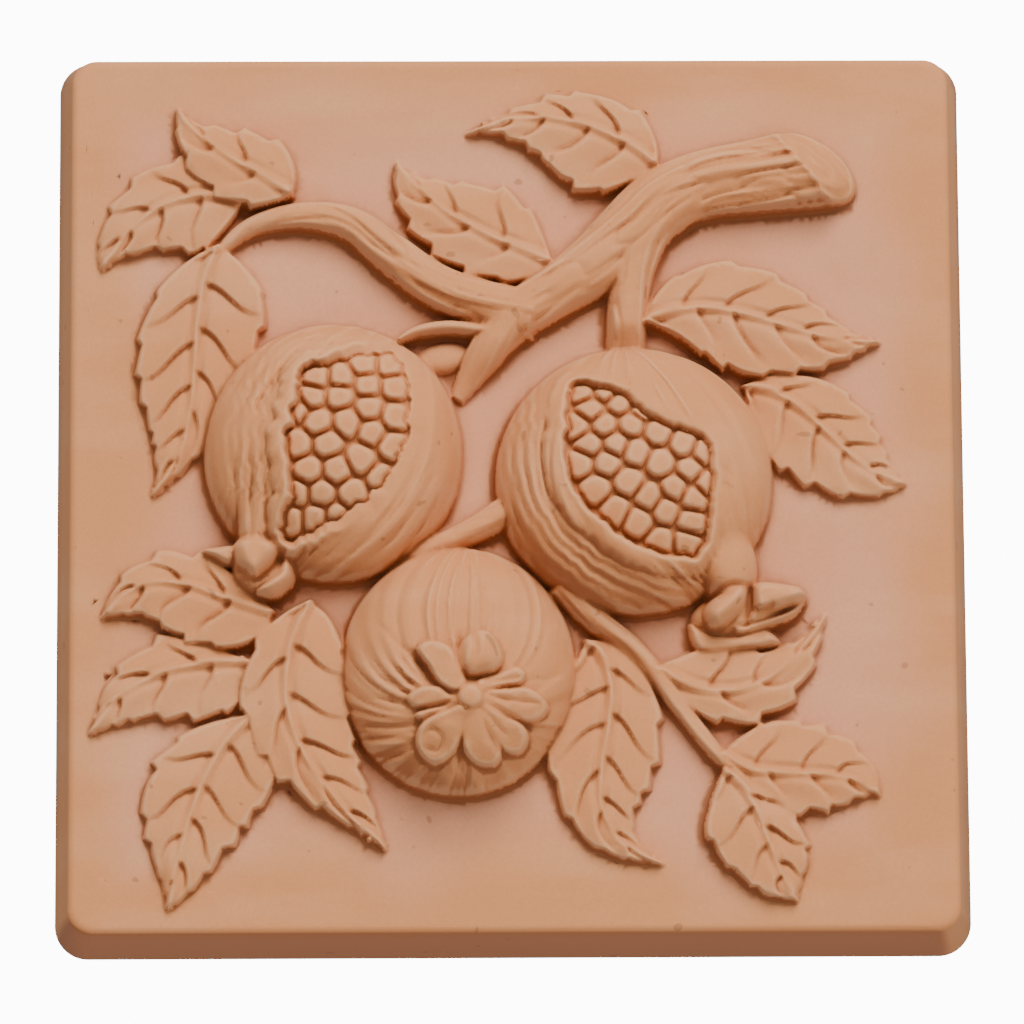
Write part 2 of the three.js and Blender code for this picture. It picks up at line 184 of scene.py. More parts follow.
def branch_height(points, sawn, seed, x, z):
    """Half-round section as high as the root of its width, with bark scored along it.

    A groove runs wherever stretched random hills pass through zero. A sawn end is a ringed face
    that slopes down to the slab inside a raised rim."""
    run = smooth_run(points)
    sample, along, left = beside(x, z, run)
    last = len(run) - 1
    half = np.interp(sample, np.arange(len(run)), run[:, 2])
    across = np.clip(left / half, -1, 1)
    arch = np.sqrt(1 - across ** 2)
    top = WOOD_HEIGHT * np.sqrt(half)
    around = np.arcsin(across) * half
    wander = 3.5 * grain(along / 28, around / 14, seed + 1)
    hills = grain((around + wander) / 3.2, along / 30, seed)
    fine = grain((around + wander) / 1.5, along / 16, seed + 2)
    depth = 0.45 + 0.075 * half
    bark = depth * (0.7 * hills - 1.3 * (1 - np.abs(hills)) ** 6 - 0.7 * (1 - np.abs(fine)) ** 6)
    fade = 1 - 0.5 * smooth_step(0.83 * last, last, sample)
    height = (top * arch ** 0.75 + bark * smooth_step(0.1, 0.6, arch)) * fade
    if sawn:
        beyond = SAW_SKEW * across - along + 5
        foot = 3 + 12 * arch
        rings = np.sin(2.1 * np.hypot(beyond - 5, 0.45 * left) + 2.5 * grain(x / 5, z / 5, seed))
        rim = 1.1 * np.exp(-((beyond - 0.6) / 0.9) ** 2)
        face = top * arch ** 0.5 * (1 - 0.5 * smooth_step(0, foot, beyond)) - 1.2 + 0.45 * rings
        face = np.where(beyond > foot, face - 6 * (beyond - foot), face)
        height = height + (face - height) * smooth_step(0, 1.2, beyond) + rim * arch
    else:
        height = np.where(along < 0, height - 0.6 * along ** 2, height)
    past = np.maximum((sample - last), 0)
    outside = np.maximum(np.abs(left) - half, 0)
    return height - 6 * past - 5 * outside


for number, run in enumerate(BRANCHES):
    xs, zs, halves = np.array(run, float).T
    reach = halves.max() + 8
    place = window(xs.min() - reach, xs.max() + reach, zs.min() - reach, zs.max() + reach)
    press(place, branch_height(run, number == 0, 10 * number + 5, X[place], Z[place]), WOOD_FILLET)

# Leaves: flat cut-outs with sawtooth edges, pressed on with a raised midrib and side veins scored
# between puffed panels. Spine from base to tip, bowed to its left at each third; for each side the
# greatest half width, where it lies and how fast it runs out; height and how much higher the left is.
TOOTH = 2.0
TOOTH_SPACING = 9.5
VEIN_SPACING = 13.5
SPINE_POINTS = 96
LEAF_REACH = 26
LEAF_FILLET = 0.8
LEAVES = [
    {"base": [-88, 96], "tip": [-134, 74], "bow": [-15, -11], "left": [18, 0.31, 2],
     "right": [13, 0.3, 1], "height": 5.5, "tilt": 1},
    {"base": [-72, 98], "tip": [-109, 127], "bow": [1, 7], "left": [12, 0.42, 1.7],
     "right": [12, 0.3, 2.2], "height": 9, "tilt": 1.5},
    {"base": [-96, 81], "tip": [-117, -1], "bow": [-7, 15], "left": [20.5, 0.25, 1.9],
     "right": [18, 0.45, 2.2], "height": 6, "tilt": 0},
    {"base": [13, 76], "tip": [-37, 109], "bow": [5, 9], "left": [13.5, 0.42, 1.3],
     "right": [15.5, 0.38, 2.6], "height": 6.5, "tilt": 1.5},
    {"base": [48, 108], "tip": [-14, 119], "bow": [-11, -13], "left": [20, 0.3, 2.2],
     "right": [11.5, 0.3, 2.6], "height": 7, "tilt": 2},
    {"base": [76, 34], "tip": [128, 2], "bow": [11, -9], "left": [13.5, 0.5, 2.2],
     "right": [18.5, 0.39, 1.6], "height": 5.5, "tilt": -1},
    {"base": [43, 55], "tip": [120, 49], "bow": [16, -6], "left": [16, 0.39, 2.4],
     "right": [18, 0.44, 2.5], "height": 8, "tilt": -1.5},
    {"base": [-86, -56], "tip": [-137, -79], "bow": [-8, -13], "left": [16.5, 0.25, 1.1],
     "right": [10, 0.45, 3.2], "height": 5.5, "tilt": 1},
    {"base": [-78, -40], "tip": [-133, -41], "bow": [-2, -22], "left": [16.5, 0.39, 1.3],
     "right": [10, 0.47, 2.1], "height": 7.5, "tilt": 1},
    {"base": [-84, -73], "tip": [-112, -136], "bow": [-11, -4], "left": [20, 0.25, 1.1],
     "right": [16, 0.46, 2.9], "height": 5.5, "tilt": 1},
    {"base": [-66, -37], "tip": [-42, -117], "bow": [-28, -17], "left": [19.5, 0.32, 1.3],
     "right": [13.5, 0.34, 2.5], "height": 8.5, "tilt": 0},
    {"base": [24, -50], "tip": [47, -122], "bow": [16, -35], "left": [16.5, 0.44, 2.3],
     "right": [19, 0.31, 1.7], "height": 6.5, "tilt": -1},
    {"base": [67, -87], "tip": [118, -100], "bow": [-8, 8], "left": [16.5, 0.38, 1.2],
     "right": [11.5, 0.55, 2.5], "height": 6, "tilt": -1},
    {"base": [46, -59], "tip": [101, -42], "bow": [-23, -17], "left": [15, 0.32, 2.6],
     "right": [10, 0.45, 2.2], "height": 7, "tilt": -1},
    {"base": [68, -92], "tip": [91, -134], "bow": [7, -3], "left": [11.5, 0.58, 2.5],
     "right": [17, 0.39, 1.5], "height": 7, "tilt": -2},
]


def blade_width(sides, is_left, share):
    """Half width of each side: greatest at its peak, running out to both ends by a power law."""
    greatest, peak, fullness = (np.where(is_left, a, b) for a, b in zip(*sides))
    share = np.clip(share, 1e-4, 1 - 1e-4)
    rise = (share / peak) ** peak * ((1 - share) / (1 - peak)) ** (1 - peak)
    return greatest * rise ** fullness


def vein_start(share, reach):
    """Share of the spine at which the vein through a point starts; veins sweep towards the tip.

    It solves share = s + k s (1 - s) for s, where k is three quarters of the reach to the edge."""
    k = np.maximum(0.75 * reach, 1e-3)
    return ((1 + k) - np.sqrt((1 + k) ** 2 - 4 * k * share)) / (2 * k)


def leaf_height(leaf, seed, x, z):
    """Blade sloping from the midrib to its toothed edge, with a steep wall round it.

    Side veins are creases, deepest near the midrib; each panel swells slowly from one crease and
    drops fast into the next. The veins bend by a sine of the reach across the blade."""
    base, tip = np.array(leaf["base"], float), np.array(leaf["tip"], float)
    chord = tip - base
    length = np.hypot(*chord)
    normal = np.array([-chord[1], chord[0]]) / length
    thirds = [base + chord * (i + 1) / 3 + normal * bow for i, bow in enumerate(leaf["bow"])]
    t = np.linspace(0, 1, SPINE_POINTS)[:, None]
    spine = (1 - t) ** 3 * base + 3 * t * (1 - t) * ((1 - t) * thirds[0] + t * thirds[1]) + t ** 3 * tip
    sample, _, left = beside(x, z, spine)
    last = SPINE_POINTS - 1
    share = np.clip(sample / last, 0, 1)
    past = np.maximum(np.maximum(-sample, sample - last), 0) * length / last
    is_left = left > 0
    width = blade_width((leaf["left"], leaf["right"]), is_left, share)
    reach = np.abs(left) / np.maximum(width, 0.5)
    edge_start = vein_start(share, 1.0)
    jitter = grain(edge_start * 7, is_left * 5.0, seed)
    tooth = edge_start * length / TOOTH_SPACING + 0.3 * jitter + 0.4 * is_left
    tooth -= np.floor(tooth)
    jag = np.where(tooth < 0.14, 1 - tooth / 0.14 * 1.5, -0.5 + 1.5 * (tooth - 0.14) / 0.86)
    edge = width + TOOTH * (0.8 + 0.3 * jitter) * jag * np.sin(np.pi * share) ** 0.8
    start = vein_start(share, np.minimum(reach, 1))
    veins = round(length / VEIN_SPACING)
    bend = 0.07 * np.sin(2 * np.pi * np.minimum(reach, 1))
    vein = (start - 0.04) / 0.945 * (veins - 0.4) + 0.3 * is_left + 0.12 * jitter + bend
    from_vein = vein - np.round(vein)
    panel = vein - np.floor(vein)
    swell = smooth_step(0, 0.75, panel) * (1 - smooth_step(0.9, 1, panel))
    crest = leaf["height"] * (1 - 0.3 * share ** 2) * (1 - 0.35 * share ** 8)
    puff = (1.7 - 1.1 * reach) * swell * np.minimum(4.5 * reach * (1.15 - reach), 1)
    lean = leaf["tilt"] * np.clip(left / width, -1, 1) / 2 - 0.8 * reach
    which = np.round(vein).astype(int) + 20 * is_left
    strength = np.random.default_rng(seed).uniform(0.55, 1.25, 64)[which]
    run_out = smooth_step(0.4 * strength, 0.65 + 0.35 * strength, reach)
    crease_reach = smooth_step(0.0, 0.1, reach) * (1 - run_out)
    across = from_vein * VEIN_SPACING
    valley = np.exp(-(across / np.where(across < 0, 0.5, 1.3)) ** 2)
    crease = 1.1 * strength * crease_reach * valley
    rib_half = 1.25 - 0.6 * share
    beside_rib = np.exp(-((np.abs(left) - 2.2 * rib_half) / 0.9) ** 2)
    rib = 1.7 * np.exp(-(left / rib_half) ** 2) - 0.75 * beside_rib
    top = crest + puff + lean - crease + rib * (1 - 0.6 * share)
    outside = np.hypot(np.maximum(np.abs(left) - edge, 0), past)
    return top * (1 - smooth_step(0, 1.2, outside)) - 2 * (outside > 1.2)


for number, leaf in enumerate(LEAVES):
    xs, zs = zip(leaf["base"], leaf["tip"])
    place = window(min(xs) - LEAF_REACH, max(xs) + LEAF_REACH, min(zs) - LEAF_REACH, max(zs) + LEAF_REACH)
    press(place, leaf_height(leaf, 200 + number, X[place], Z[place]), LEAF_FILLET)


# Leaflet: a small curled leaf under the fork of the branches, a rolled upper edge over a shallow cup.


def cord_height(run, top, x, z):
    """Round bar along a run of [x, z, half width]: the root of one less the squared reach across it."""
    sample, _, left = beside(x, z, run)
    half = np.interp(sample, np.arange(len(run)), run[:, 2])
    past = np.maximum(np.maximum(-sample, sample - len(run) + 1), 0) * 0.5
    reach = np.hypot(left, past) / half
    return top * np.sqrt(np.maximum(1 - reach ** 2, 0)) ** 0.8 - 9 * np.maximum(reach - 1, 0)


def lump_height(lump, foot, x, z):
    """Oval dome from its foot to its top: the root of one less the cube of the reach."""
    lean = np.radians(lump["turn"])
    dx, dz = x - lump["at"][0], z - lump["at"][1]
    along = (dx * np.cos(lean) + dz * np.sin(lean)) / lump["half"][0]
    over = (dz * np.cos(lean) - dx * np.sin(lean)) / lump["half"][1]
    reach = np.hypot(along, over)
    dome = foot + (lump["top"] - foot) * np.sqrt(np.maximum(1 - reach ** 3, 0))
    return dome - 60 * np.maximum(reach - 1, 0)


BELOW_FACE = -2
roll = [[-37, 49, 1.2], [-31, 52, 2.2], [-21, 53.5, 2.6], [-11, 52.5, 2.4], [-6, 52, 2]]
place = window(-44, 0, 34, 60)
press(place, cord_height(smooth_run(roll), 10, X[place], Z[place]), 1.0)
cup = {"at": [-23, 43.5], "half": [10, 5.5], "turn": 12, "top": 4.5}
press(place, lump_height(cup, BELOW_FACE, X[place], Z[place]), 1.0)

# Fruits: three domes of clay. Two are split open, with the rind torn back to a thick lip round a bed
# of seeds; strokes of a modelling tool run over the rind between two poles, the stem and the crown.
# The lip is widest towards one bearing and turns into a bevel on the far side.
FRUITS = {
    "left": {"at": [-58.5, 12], "radius": [42.5, 43], "height": 29, "poles": [[-38, 60], [-82, -34]]},
    "right": {"at": [39.5, 2.5], "radius": [45.5, 44.5], "height": 30, "poles": [[36, 50], [74, -40]]},
    "bottom": {"at": [-18, -60], "radius": [38.5, 41], "height": 29, "poles": [[-14, -16], [-14.5, -72]]},
}
SEED_DEPTH = 5.0
SEED_RISE = 3.6
SEED_RADIUS = 5.9
SEED_GAP = 0.7
FRUIT_FILLET = 1.5
OPENINGS = {
    "left": {
        "outline": [[-69, 36], [-56, 41], [-38, 45], [-32, 32], [-33, 14], [-44, -6], [-60, -15],
                    [-75, -18], [-72, -2], [-73, 14], [-70, 26]],
        "lip": {"half": 3.0, "rise": 2.6, "towards": 172, "bevel": 6.5, "ragged": 1.0, "ridges": 0.35}},
    "right": {
        "outline": [[19, 33], [34, 30.5], [47, 21], [64, 13], [65, -6], [60, -25], [45, -24],
                    [32, -17], [21, -7], [17, 4], [17, 20]],
        "lip": {"half": 3.6, "rise": 3.0, "towards": 215, "bevel": 1.0, "ragged": 0.5, "ridges": 0.5}},
}
SEEDS = {
    "left": {
        38: [-48, -40], 33.5: [-63.5, -55.5], 31.5: [-47, -38.5], 27.5: [-65, -56], 23: [-70.5, -46.5],
        20.5: [-38.5], 18.5: [-63, -53.5], 15.5: [-45.5], 11.5: [-69.5, -60, -39], 6.5: [-49.5],
        3: [-66, -57], 0: [-42.5], -4.5: [-70, -62, -52], -12: [-72, -64, -57]},
    "right": {
        29.5: [22.5, 30], 25: [34.5], 23: [25, 42], 17.5: [20.5, 29.5, 38], 15: [46.5],
        11: [24.5, 33, 55], 8.5: [39.5, 61.5], 5: [21.5, 30, 47.5], 3: [57], -1.5: [37, 62.5],
        -3.5: [26.5, 52], -6.5: [43.5, 58], -10.5: [33, 49], -14: [40, 57], -20.5: [47.5, 55.5]},
}


def dome_height(fruit, x, z):
    """Dome over an ellipse: the root of one less the reach to its rim to the power 2.3."""
    reach = np.hypot((x - fruit["at"][0]) / fruit["radius"][0], (z - fruit["at"][1]) / fruit["radius"][1])
    return fruit["height"] * np.sqrt(np.maximum(1 - reach ** 2.3, 0)) - 20 * np.maximum(reach - 1, 0)


def rind_strokes(fruit, seed, x, z):
    """Grooves along circles through both poles: on each, the poles are seen at the same angle."""
    (ax, az), (bx, bz) = fruit["poles"]
    from_stem, from_crown = np.arctan2(z - az, x - ax), np.arctan2(z - bz, x - bx)
    seen = (from_stem - from_crown + 4 * np.pi) % (2 * np.pi)
    along = np.hypot(x - bx, z - bz)
    hills = grain(seen * 12, along / 32, seed)
    fine = grain(seen * 28, along / 15, seed + 1)
    strength = smooth_step(-0.35, 0.5, grain(x / 16, z / 16, seed + 2))
    return 0.8 * hills - strength * (1.4 * (1 - np.abs(hills)) ** 6 + 0.7 * (1 - np.abs(fine)) ** 6)


def seed_height(seeds, room, x, z):
    """Pillow for each seed: flat across, round at the edge, half a gap short of its neighbours.

    A point belongs to its nearest seed; its distance from the seed's edge is the soft least of those
    to the lines half way to the other seeds near it, to the seed's radius and to the torn rind."""
    apart = np.hypot(x[..., None] - seeds[:, 0], z[..., None] - seeds[:, 1])
    order = np.argsort(apart, axis=-1)[..., :7]
    ranked = np.take_along_axis(apart, order, -1)
    between = np.linalg.norm(seeds[order[..., 1:]] - seeds[order[..., :1]], axis=-1)
    borders = (ranked[..., 1:] ** 2 - ranked[..., :1] ** 2) / (2 * between) - SEED_GAP / 2
    limits = np.concatenate([borders, (SEED_RADIUS - ranked[..., :1]), room[..., None]], axis=-1)
    inside = -0.55 * np.log(np.sum(np.exp(-limits / 0.55), axis=-1))
    round_edge = np.sqrt(1 - (1 - np.clip(inside / 1.5, 0, 1)) ** 2)
    chosen = order[..., 0]
    tilt = np.random.default_rng(7).uniform(-0.08, 0.08, (len(seeds), 2))[chosen]
    lean = tilt[..., 0] * (x - seeds[chosen, 0]) + tilt[..., 1] * (z - seeds[chosen, 1])
    return round_edge, lean


def open_fruit(side, x, z):
    """Dome with a rolled lip and fainter ridges outside the torn edge, and the seeds in their bed.

    Away from the lip's bearing the edge slopes to the bed by a smooth step as wide as the bevel."""
    fruit, opening = FRUITS[side], OPENINGS[side]
    lip = opening["lip"]
    run = smooth_run(opening["outline"], closed=True)
    centre = run[:-1].mean(axis=0)
    dome = dome_height(fruit, x, z)
    _, along, left = beside(x, z, run)
    ragged = lip["ragged"] * (grain(along / 4, along * 0, 31) + 0.6 * grain(along / 1.7, along * 0, 32))
    outward = left + ragged
    bearing = np.arctan2(z - centre[1], x - centre[0])
    facing = 0.5 + 0.5 * np.cos(bearing - np.radians(lip["towards"]))
    facing = smooth_step(0.1, 0.9, facing)
    roll = np.clip((outward + 0.4) / (2.1 * lip["half"] * (0.3 + 0.7 * facing)), 0, 1)
    ridge = lip["rise"] * facing * np.sqrt(np.maximum(1 - np.abs(2 * roll ** 0.8 - 1) ** 2.5, 0))
    past_lip = np.maximum(outward - 2.1 * lip["half"], 0)
    fold = np.sin(2 * np.pi * past_lip / 3.2 + 1.6 * grain(along / 14, past_lip / 9, 33))
    ridge += lip["ridges"] * facing * fold * smooth_step(0, 1.5, past_lip) * np.exp(-(past_lip / 15) ** 2)
    rind = dome + rind_strokes(fruit, 50, x, z) * smooth_step(0, 4, outward) + ridge
    inner = -0.6 - 1.4 * (1 - facing)
    slope = smooth_step(inner, inner + 1.2 + lip["bevel"] * (1 - facing), outward)
    floor = dome - 2.2
    bed = dome - SEED_DEPTH
    seeds = np.array([[place, z_row] for z_row, row in SEEDS[side].items() for place in row], float)
    round_edge, lean = seed_height(seeds, inner - outward - SEED_GAP / 2, x, z)
    seeded = bed + SEED_RISE * round_edge + lean * round_edge
    return np.where(outward > inner, floor + (rind - floor) * slope, seeded)


for side in ("left", "right"):
    (cx, cz), (rx, rz) = FRUITS[side]["at"], FRUITS[side]["radius"]
    place = window(cx - rx - 3, cx + rx + 3, cz - rz - 3, cz + rz + 3)
    press(place, open_fruit(side, X[place], Z[place]), FRUIT_FILLET)

(cx, cz), (rx, rz) = FRUITS["bottom"]["at"], FRUITS["bottom"]["radius"]
place = window(cx - rx - 3, cx + rx + 3, cz - rz - 3, cz + rz + 3)
press(place, dome_height(FRUITS["bottom"], X[place], Z[place])
      + rind_strokes(FRUITS["bottom"], 70, X[place], Z[place]), FRUIT_FILLET)

# Crowns: the dried ends of the two side fruits, a neck and lobes of clay pinched to shape, with folds
# scored between them. Each lobe: its outline, its top above the slab, and how far in its edge
# rounds. Each fold: its line, its depth and its half width.
CROWN_NECKS = [
    {"at": [-82.5, -10], "half": [15, 7.5], "turn": 84, "top": 20},
    {"at": [69, -25], "half": [17, 10.5], "turn": -78, "top": 19},
    {"at": [-82, -25], "half": [10, 11], "turn": 0, "top": 15},
    {"at": [74, -41], "half": [17, 9], "turn": 12, "top": 12.5},
]
CROWN_LOBES = [
    [[[-102, -20], [-96, -18.5], [-89, -18.5], [-87, -22], [-92, -26], [-98, -23.5]], 11.5, 3],
    [[[-84, -33], [-78, -27], [-74, -22], [-70.5, -25], [-70.5, -31], [-75, -35.5], [-80, -37],
      [-84, -35.5]], 16.5, 5],
    [[[-91, -18], [-84, -13], [-76, -17], [-74, -22], [-77, -27.5], [-83, -32], [-88.5, -30],
      [-91.5, -24]], 20.5, 6],
    [[[57, -44], [61, -46], [70, -48], [82, -46], [87, -51], [75, -54], [60, -54.5], [57, -50]], 8.5, 3],
    [[[70, -46], [78, -44], [90, -39.5], [95, -37.5], [91, -43], [80, -47], [72, -49]], 13, 2.5],
    [[[76.5, -33], [80, -31], [88, -31.5], [93.5, -33], [95.5, -36], [93, -39.5], [88, -41.5],
      [83, -43], [78, -43.5], [76, -40]], 17.5, 4.5],
    [[[60.5, -42], [63, -37], [69, -33], [74, -31], [77, -35], [76.5, -40], [74, -44], [70, -47],
      [65, -48.5], [62, -47]], 20, 6.5],
]
CROWN_FOLDS = [
    [[[-89.5, 8], [-89, -6], [-89.5, -17]], 1.3, 1.0],
    [[[-85, 8], [-85, -6], [-84.5, -17]], 1.1, 0.9],
    [[[-79.5, 3], [-80, -6], [-79.5, -17]], 1.0, 0.9],
    [[[-92, -19], [-86, -18], [-78, -18.5]], 0.9, 1.2],
    [[[-86, -32], [-82, -30.5], [-78, -27.5], [-75, -23]], 2.2, 1.1],
    [[[-84, -34.5], [-80, -31.5], [-75, -28.5]], 1.0, 0.8],
    [[[-90, -27.5], [-86, -28.5]], 0.8, 0.9],
    [[[76.8, -32], [76.5, -38], [75.5, -45]], 3.0, 1.2],
    [[[77, -40.6], [80, -41.2], [84, -39.8]], 1.6, 0.8],
    [[[68, -49], [75, -46.2], [84, -43.5], [93, -39.5]], 1.8, 1.0],
    [[[60, -41.5], [64, -37], [70, -33.6], [75, -33.4]], 1.6, 1.0],
    [[[79, -36], [85, -35], [90, -35.5]], 0.5, 0.7],
    [[[65, -44], [70, -42.5], [73, -38.5]], 0.5, 1.2],
]


def score(points, depth, half):
    """Cuts a groove along a line in the relief: a bell-shaped valley, run out towards both ends."""
    run = smooth_run(points)
    (x_low, z_low), (x_high, z_high) = run.min(axis=0) - 4 * half, run.max(axis=0) + 4 * half
    place = window(x_low, x_high, z_low, z_high)
    sample, _, left = beside(X[place], Z[place], run)
    share = np.clip(sample / (len(run) - 1), 0, 1)
    past = np.maximum(np.maximum(-sample, sample - len(run) + 1), 0) * 0.3
    run_out = np.minimum(4 * share * (1.15 - share), 1) ** 0.7
    relief[place] -= depth * run_out * np.exp(-(np.hypot(left, past) / half) ** 2)


def lobe_height(outline, foot, thickness, edge, x, z):
    """Pad inside a closed outline: over its rounded edge the height follows a quarter circle."""
    run = smooth_run(outline, closed=True, samples=8)
    _, _, left = beside(x, z, run)
    turning = np.sum(run[:-1, 0] * run[1:, 1] - run[1:, 0] * run[:-1, 1])
    inside = left * np.sign(turning)
    rounded = np.sqrt(1 - (1 - np.clip(inside / edge, 0, 1)) ** 2)
    return foot + thickness * rounded - 8 * np.maximum(-inside, 0)


for neck in CROWN_NECKS:
    (cx, cz), reach = neck["at"], max(neck["half"]) + 3
    place = window(cx - reach, cx + reach, cz - reach, cz + reach)
    press(place, lump_height(neck, BELOW_FACE, X[place], Z[place]), 3.0)
for outline, top, edge in CROWN_LOBES:
    xs, zs = zip(*outline)
    place = window(min(xs) - 4, max(xs) + 4, min(zs) - 4, max(zs) + 4)
    uneven = 0.5 * grain(X[place] / 4, Z[place] / 4, 41)
    lobe = lobe_height(outline, BELOW_FACE, top - BELOW_FACE, edge, X[place], Z[place])
    press(place, lobe + uneven, 1.8)
for fold in CROWN_FOLDS:
    score(*fold)

# Flower: the open crown of the bottom fruit, petals cut from thin clay and laid round a button, their
# edges turned up. Each petal: its outline, its thickness over the fruit and how high its edge turns.
BUTTON = {"at": [-14.2, -71.5], "half": [4.2, 4.2], "turn": 0, "top": 34}
HEART = {"at": [-14, -73], "half": [11, 10], "turn": 0, "top": 30.8}
PETALS = [
    [[[-20, -72], [-24, -68], [-30, -68], [-34.5, -71], [-33.5, -74], [-27, -74.5]], 3.2, 0.3],
    [[[-19, -74], [-25, -74.5], [-32, -76.5], [-30, -79], [-24, -78.5], [-18, -77]], 3.0, 0.2],
    [[[-12, -66], [-5, -63.5], [1, -61.5], [3.5, -63.5], [2.5, -66.5], [-4, -68], [-11, -70]], 3.4, 0.3],
    [[[-10, -70], [-2, -68.5], [4, -68], [9, -70.5], [11, -74], [8, -78], [2, -79], [-4, -77.5],
      [-11, -74]], 3.6, 0.7],
    [[[-10, -74], [-3, -77], [3, -79.5], [4.5, -84], [2, -88.5], [-3, -88.5], [-7, -84]], 3.8, 0.7],
    [[[-17, -76], [-17.5, -84], [-15.5, -90], [-11, -93], [-6, -92.5], [-4, -89], [-7, -81],
      [-11, -75]], 4.2, 0.8],
    [[[-17, -74], [-24, -76], [-30, -79.5], [-32, -85], [-30, -90], [-26, -92.5], [-21, -90.5],
      [-17.5, -86], [-15, -78]], 4.2, 1.0],
    [[[-31.5, -56], [-29, -53.5], [-24, -53.5], [-20, -56], [-17.5, -61], [-15.5, -67], [-19, -70],
      [-25, -66.5], [-28, -61.5]], 3.8, 0.7],
]
BUD = [[[-19, -58], [-17, -53.5], [-12.5, -50], [-8.5, -50], [-5, -54], [-3.5, -59], [-5.5, -63],
        [-10, -64.5], [-15, -65], [-18.5, -63]], 7.0]
FLOWER_FOLDS = [
    [[[-25, -67.5], [-29, -62], [-32, -57.5]], 2.6, 1.6],
    [[[-15, -63], [-12.5, -57], [-13, -51]], 1.2, 1.2],
    [[[-30, -84], [-27, -81.5], [-23.5, -84], [-25, -88], [-29, -87]], 0.8, 0.8],
    [[[-17, -53], [-17.5, -59], [-16, -65]], 1.8, 1.6],
    [[[-15, -65.5], [-10, -65.5], [-5, -64]], 1.5, 1.0],
    [[[-9, -66.5], [-3, -66], [2, -65]], 0.8, 0.7],
    [[[-10, -70], [-5, -71.8], [3, -72.6], [8, -72.8]], 1.0, 0.7],
    [[[-10, -73], [-4, -76], [2, -79], [5, -81]], 1.6, 1.0],
    [[[-11, -74], [-7, -79], [-3, -83]], 0.8, 0.7],
    [[[-11, -75], [-9, -81], [-5.5, -88]], 1.2, 1.0],
    [[[-16, -76], [-17, -83], [-18, -90]], 1.3, 1.1],
    [[[-18, -74], [-24, -76], [-31, -79]], 1.4, 0.9],
    [[[-18, -70], [-23, -69.5], [-26, -67.5]], 0.9, 0.8],
    [[[-19, -73], [-25, -73.5], [-31, -74.5]], 1.2, 0.8],
]
FRUIT_FOLDS = [
    [[[-30, -66], [-36, -66.5], [-43, -64]], 0.5, 0.9],
    [[[-31, -73.5], [-37, -72.6], [-44, -70.5]], 0.9, 0.8],
    [[[-31, -79.5], [-38, -80], [-47, -79]], 1.0, 0.8],
    [[[-33, -84], [-40, -83.6], [-47, -83]], 0.7, 0.8],
    [[[-33, -89], [-40, -88.5], [-46, -87]], 0.5, 0.8],
    [[[-32, -58], [-38, -53], [-43, -47]], 0.6, 0.9],
    [[[4, -65], [10, -64.6], [16, -62]], 0.5, 0.8],
    [[[-20, -53], [-20.5, -44], [-19, -34]], 0.5, 0.9],
    [[[-30, -50], [-30, -40], [-26, -31]], 0.5, 0.9],
]


def petal_height(outline, foot, thickness, turn_up, x, z):
    """Lobe with a thin edge and a soft ridge just inside it: a bell curve of the way in."""
    flat = lobe_height(outline, 0, 1, 1.2, x, z)
    broad = lobe_height(outline, 0, 1, 5.0, x, z)
    ridge = 0.6 * turn_up * np.exp(-((broad - 0.6) / 0.25) ** 2)
    return foot + thickness * flat + ridge


place = window(-46, 22, -104, -38)
bottom_dome = dome_height(FRUITS["bottom"], X[place], Z[place])
uneven = 0.35 * grain(X[place] / 3, Z[place] / 3, 44)
press(place, lump_height(HEART, 24, X[place], Z[place]), 1.0)
for outline, thickness, turn_up in PETALS:
    petal = petal_height(outline, bottom_dome - 0.5, thickness, turn_up, X[place], Z[place])
    press(place, petal + uneven, 0.6)
outline, thickness = BUD
press(place, lobe_height(outline, bottom_dome - 0.5, thickness, 6.5, X[place], Z[place]), 0.8)
for fold in FLOWER_FOLDS + FRUIT_FOLDS:
    score(*fold)
press(place, lump_height(BUTTON, 30, X[place], Z[place]), 0.5)

# Pressed sheet: the clay rounds every arris as it leaves the mould, and the face of the slab waves a
# little. The sheet is closed with a flat back and thinned where it is plain.


def soften(height, radius):
    """Average of each point and its neighbours, weighted by a bell curve of the given radius."""
    reach = int(np.ceil(2.5 * radius / CELL))
    weights = np.exp(-0.5 * (np.arange(-reach, reach + 1) * CELL / radius) ** 2)
    weights /= weights.sum()
    for axis in (0, 1):
        spread = np.pad(height, [(reach, reach) if axis == k else (0, 0) for k in (0, 1)], mode="edge")
        size = height.shape[axis]
        height = sum(w * np.take(spread, np.arange(k, k + size), axis=axis) for k, w in enumerate(weights))
    return height


# Hollows count as sunken, most of all under walls that face down and left, away from the key light; a
# second measure is the same over a wider reach. Both paint shade into the clay's colour.
sharp = relief + 0.25 * grain(X / 55, Z / 55, 3) * smooth_step(8, 30, inset)
pressed = soften(sharp, 0.35)
sunken = np.clip((soften(pressed, 0.9) - pressed) / 0.7, -1, 1)
rise_x, rise_z = np.gradient(soften(pressed, 1.2), CELL)
faces_down = smooth_step(-0.7, 0.7, 0.45 * rise_x + 0.89 * rise_z)
sunken = np.where(sunken > 0, sunken * (0.35 + 0.65 * faces_down), sunken)
# Painted shade over a wider reach beside the relief, strongest below and left of the forms.
wide_painted_shade = np.clip((soften(pressed, 3.0) - pressed) / 5, 0, 1) * (0.4 + 0.6 * faces_down)
height = pressed + slab_height

count = len(line)
front = np.stack([X, -(SLAB + height), Z], axis=-1).reshape(-1, 3) * MM
index = np.arange(count * count).reshape(count, count)
quads = np.stack([index[:-1, :-1], index[1:, :-1], index[1:, 1:], index[:-1, 1:]], axis=-1).reshape(-1, 4)

